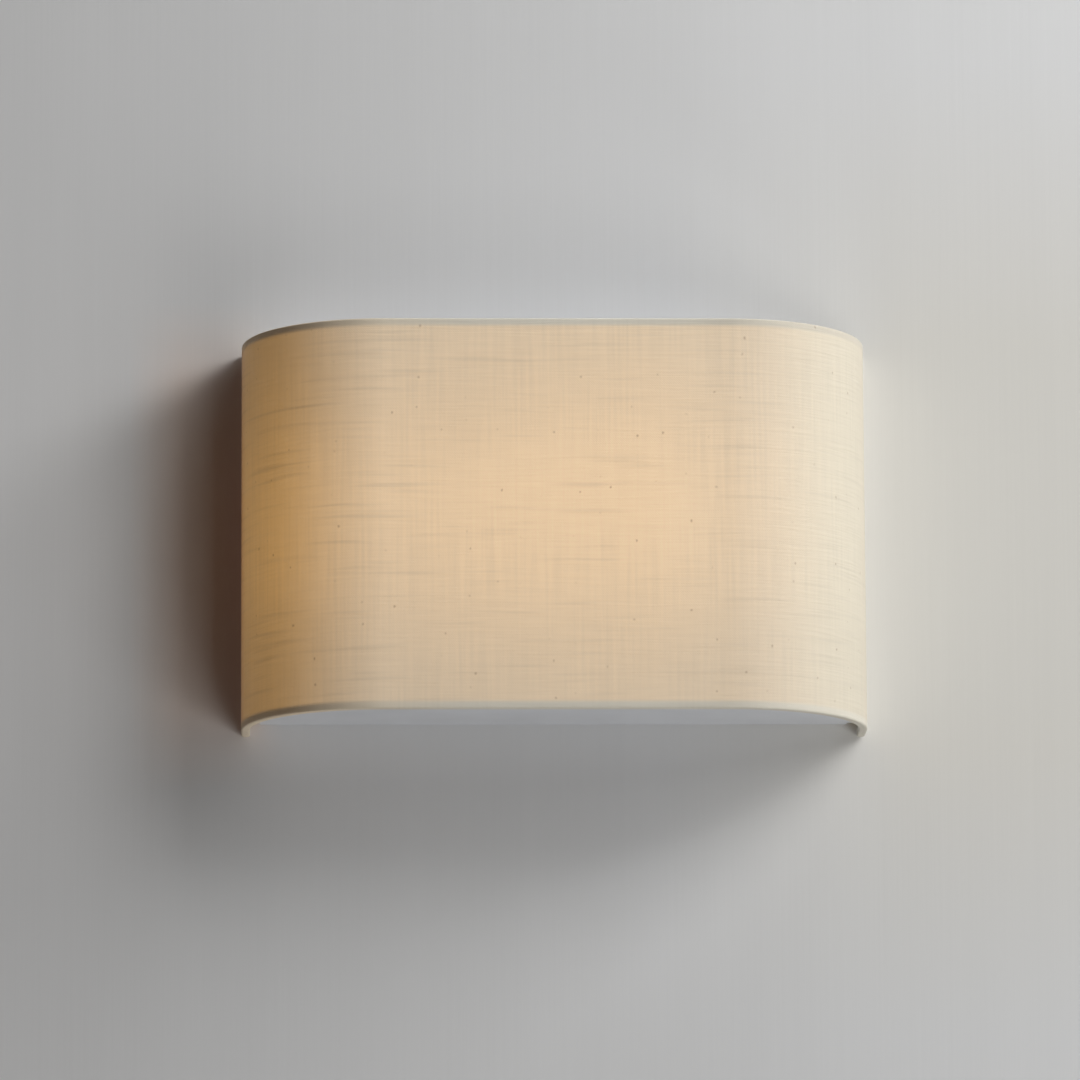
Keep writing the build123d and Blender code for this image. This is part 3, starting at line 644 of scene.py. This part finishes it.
def knurled_thumbscrew(side):
    """Thumbscrew with a knurled dished head and a threaded shank."""
    node = f"{side}_thumbscrew"
    low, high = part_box(node)
    centre = (low + high) / 2
    head = (high.x - low.x) / 2
    length = high.z - low.z
    neck = length - 0.0046
    bevel = 0.0009
    dish = length - 0.0006
    section = [(0, 0), *threads(screw_radius, screw_start, neck, screw_pitch)]
    section += [(head - 0.001, neck), (head, neck + bevel), (head, length - bevel)]
    section += [(head - 0.0005, length - 0.0002), (head - 0.0012, length)]
    section += [(head - 0.0016, dish), (0, dish)]

    steps = 72
    knurl_depth = 0.0004
    part = lathe(section, steps)
    for vert in part.verts:
        turn = round(atan2(vert.co.y, vert.co.x) / (2 * pi / steps)) % 3
        if hypot(vert.co.x, vert.co.y) > head - 2 * knurl_depth and turn == 0:
            vert.co.x *= 1 - knurl_depth / head
            vert.co.y *= 1 - knurl_depth / head
    bm = bmesh.new()
    set_in(bm, part, (centre.x, centre.y, low.z))
    made = piece(bm, f"{side}_knurled_screw", node, node)
    made.data.shade_flat()


def nut_pieces(name, node, places, bore, across_flats):
    """Nuts that share a node, each on its own thread."""
    low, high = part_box(node)
    bm = bmesh.new()
    for place in places:
        set_in(bm, hex_nut(bore, across_flats, high.z - low.z), (place.x, place.y, low.z))
    made = piece(bm, name, "tray", node)
    made.data.shade_flat()


def earth_nut_and_stud():
    """Nut with chamfered corners on a threaded stud that points out of the tray."""
    low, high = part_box("earth_nut")
    centre = (low + high) / 2
    bm = bmesh.new()
    nut = hex_nut(0.00202, high.z - low.z, high.y - low.y)
    set_in(bm, nut, (centre.x, high.y, centre.z), pi / 2)
    piece(bm, "chamfered_earth_nut", "tray", "earth_nut").data.shade_flat()
    low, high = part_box("earth_stud")
    length = high.y - low.y
    bm = bmesh.new()
    end = earth_stud_start
    thread = threads(screw_radius, end, length - end, screw_pitch)
    section = [(0, 0), (0.0018, 0), *thread, (0, length)]
    set_in(bm, lathe(section), (centre.x, high.y, centre.z), pi / 2)
    piece(bm, "threaded_earth_stud", "tray", "earth_stud").data.shade_flat()


def block_fixings():
    """Slotted clamp screws in the terminal block, and the two screws that hold it."""
    radius = 0.0016
    head_height = 0.001
    low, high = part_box("clamp_screws")
    bm = bmesh.new()
    for x in (low.x + radius, 0, high.x - radius):
        for z in (low.z + radius, high.z - radius):
            screw = slotted_screw(radius, high.y - low.y - head_height, radius, head_height)
            set_in(bm, screw, (x, high.y, z), pi / 2)
    piece(bm, "slotted_clamp_screws", "tray", "clamp_screws").data.shade_flat()
    head = 0.0014
    low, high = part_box("block_screws")
    bm = bmesh.new()
    for x in (low.x + head, high.x - head):
        screw = slotted_screw(0.0012, high.y - low.y - head, head, head)
        set_in(bm, screw, (x, high.y, (low.z + high.z) / 2), pi / 2)
    piece(bm, "slotted_block_screws", "tray", "block_screws").data.shade_flat()


def stage_plane(name, finish, matrix, width, length):
    """Flat backdrop that isn't part of the light."""
    bm = bmesh.new()
    bmesh.ops.create_grid(bm, x_segments=1, y_segments=1, size=0.5)
    bmesh.ops.scale(bm, vec=(width, length, 1), verts=bm.verts)
    bmesh.ops.transform(bm, matrix=matrix, verts=bm.verts)
    mesh = bpy.data.meshes.new(name)
    bm.to_mesh(mesh)
    bm.free()
    made = bpy.data.objects.new(name, mesh)
    bpy.context.scene.collection.objects.link(made)
    mesh.materials.append(finish)
    return made


def soft_light(name, azimuth, elevation, distance, power, colour):
    """Square light aimed at the shade, as wide as a set share of its distance."""
    a, e = radians(azimuth), radians(elevation)
    toward = Vector((sin(a) * cos(e), -cos(a) * cos(e), sin(e)))
    data = bpy.data.lights.new(name, "AREA")
    data.shape = "SQUARE"
    data.size = light_share * distance
    data.energy = power
    data.color = colour
    made = bpy.data.objects.new(name, data)
    made.location = toward * distance
    made.rotation_euler = (-toward).to_track_quat("-Z", "Y").to_euler()
    bpy.context.scene.collection.objects.link(made)


def set_camera():
    """Camera at the place that the photograph was taken from."""
    data = bpy.data.cameras.new("camera")
    data.lens = camera_lens
    data.sensor_width = sensor_width
    data.clip_start, data.clip_end = 0.05, 60.0
    made = bpy.data.objects.new("camera", data)
    yaw = Matrix.Rotation(radians(-camera_yaw), 4, "Z")
    pitch = Matrix.Rotation(radians(90 + camera_pitch), 4, "X")
    roll = Matrix.Rotation(radians(camera_roll), 4, "Z")
    aim = yaw @ pitch
    made.matrix_world = Matrix.Translation(camera_place) @ aim @ roll
    bpy.context.scene.collection.objects.link(made)
    bpy.context.scene.camera = made


def set_world():
    """Dim even light all round, and a pale backdrop where the camera sees past the stage."""
    world = bpy.data.worlds.new("studio")
    bpy.context.scene.world = world
    world.use_nodes = True
    tree = world.node_tree
    dim = tree.nodes["Background"]
    dim.inputs["Color"].default_value = (1.0, 0.9, 0.8, 1.0)
    dim.inputs["Strength"].default_value = 0.006
    pale = tree.nodes.new("ShaderNodeBackground")
    pale.inputs["Color"].default_value = (0.78, 0.78, 0.77, 1.0)
    seen = tree.nodes.new("ShaderNodeLightPath")
    either = tree.nodes.new("ShaderNodeMixShader")
    tree.links.new(seen.outputs["Is Camera Ray"], either.inputs[0])
    tree.links.new(dim.outputs[0], either.inputs[1])
    tree.links.new(pale.outputs[0], either.inputs[2])
    tree.links.new(either.outputs[0], tree.nodes["World Output"].inputs["Surface"])


set_camera()
set_world()
bpy.context.scene.view_settings.view_transform = "Standard"

paint = speckled("white_powder_coat", (0.69, 0.71, 0.75), 0.45, grain=1500, relief=0.00003)
zinc = speckled("zinc_plate", (0.72, 0.73, 0.75), 0.35, grain=2500, metal=1.0)
nickel = speckled("nickel_plate", (0.74, 0.71, 0.66), 0.25, grain=2500, metal=1.0)
brass = speckled("brass", (0.80, 0.60, 0.30), 0.3, grain=2500, metal=1.0)
tin = speckled("tinned_copper", (0.78, 0.77, 0.75), 0.4, grain=2500, metal=1.0)
rubber = speckled("black_rubber", (0.03, 0.03, 0.032), 0.7, grain=1800)
moulded = speckled("white_moulded_plastic", (0.75, 0.74, 0.71), 0.4, grain=1200)
block = speckled("clear_block_plastic", (0.70, 0.69, 0.66), 0.4, grain=1200)
black_glass = speckled("black_glass", (0.02, 0.02, 0.022), 0.15, grain=1500)
green = speckled("green_lead_sleeve", (0.10, 0.30, 0.08), 0.45, grain=1500)
brown = speckled("brown_lead_sleeve", (0.16, 0.07, 0.03), 0.45, grain=1500)
blue = speckled("blue_lead_sleeve", (0.05, 0.12, 0.38), 0.45, grain=1500)
liner = glowing_liner()
opal = lit_opal_glass()

finish_of_slot = {
    "shade_cloth": plain_weave(),
    "frame_wire": zinc,
    "liner_plastic": liner,
    "white_tray_paint": paint,
    "black_rubber": rubber,
    "plated_steel": zinc,
    "holder_plastic": moulded,
    "nickel_plate": nickel,
    "brass": brass,
    "tinned_copper": tin,
    "opal_glass": opal,
    "black_glass": black_glass,
    "block_plastic": block,
    "green_lead": green,
    "brown_lead": brown,
    "blue_lead": blue,
}

shade_cloth()
lamp_places = [sum(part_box(f"{side}_bulb_globe"), Vector()) / 2 for side in ("left", "right")]
screw_places = [sum(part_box(f"{side}_thumbscrew"), Vector()) / 2 for side in ("left", "right")]
for side in ("left", "right"):
    cap, shell = f"{side}_bulb_cap", f"{side}_thread_shell"
    threaded_sleeve(
        f"{side}_rolled_cap", cap, f"{side}_bulb", crest=0.00695, depth=0.0006, plain_top=0.006
    )
    threaded_sleeve(f"{side}_rolled_shell", shell, "tray", crest=0.0077, depth=0.00035)
    knurled_thumbscrew(side)
nut_pieces("chamfered_shade_nuts", "shade_nuts", screw_places, bore=0.00205, across_flats=0.007)
nut_pieces("chamfered_nipple_nuts", "nipple_nuts", lamp_places, bore=0.0051, across_flats=0.014)
earth_nut_and_stud()
block_fixings()

wall = stage_plane(
    "wall",
    brushed_wall_paint(),
    Matrix.Translation((0, 0.0005, 0.5)) @ Matrix.Rotation(radians(90), 4, "X"),
    width=9.0,
    length=8.0,
)
wall.visible_shadow = False
stage_plane(
    "floor",
    speckled("pale_floor", (0.74, 0.73, 0.71), 0.6, grain=60),
    Matrix.Translation((0, -4.0, -3.5)),
    width=9.0,
    length=9.0,
)
for name, (azimuth, elevation, distance, power, colour) in STUDIO_LIGHTS.items():
    soft_light(name, azimuth, elevation, distance, power, colour)

for name, node in nodes.items():
    node.data.materials.clear()
    node.data.materials.append(finish_of_slot[slot_of[name]])
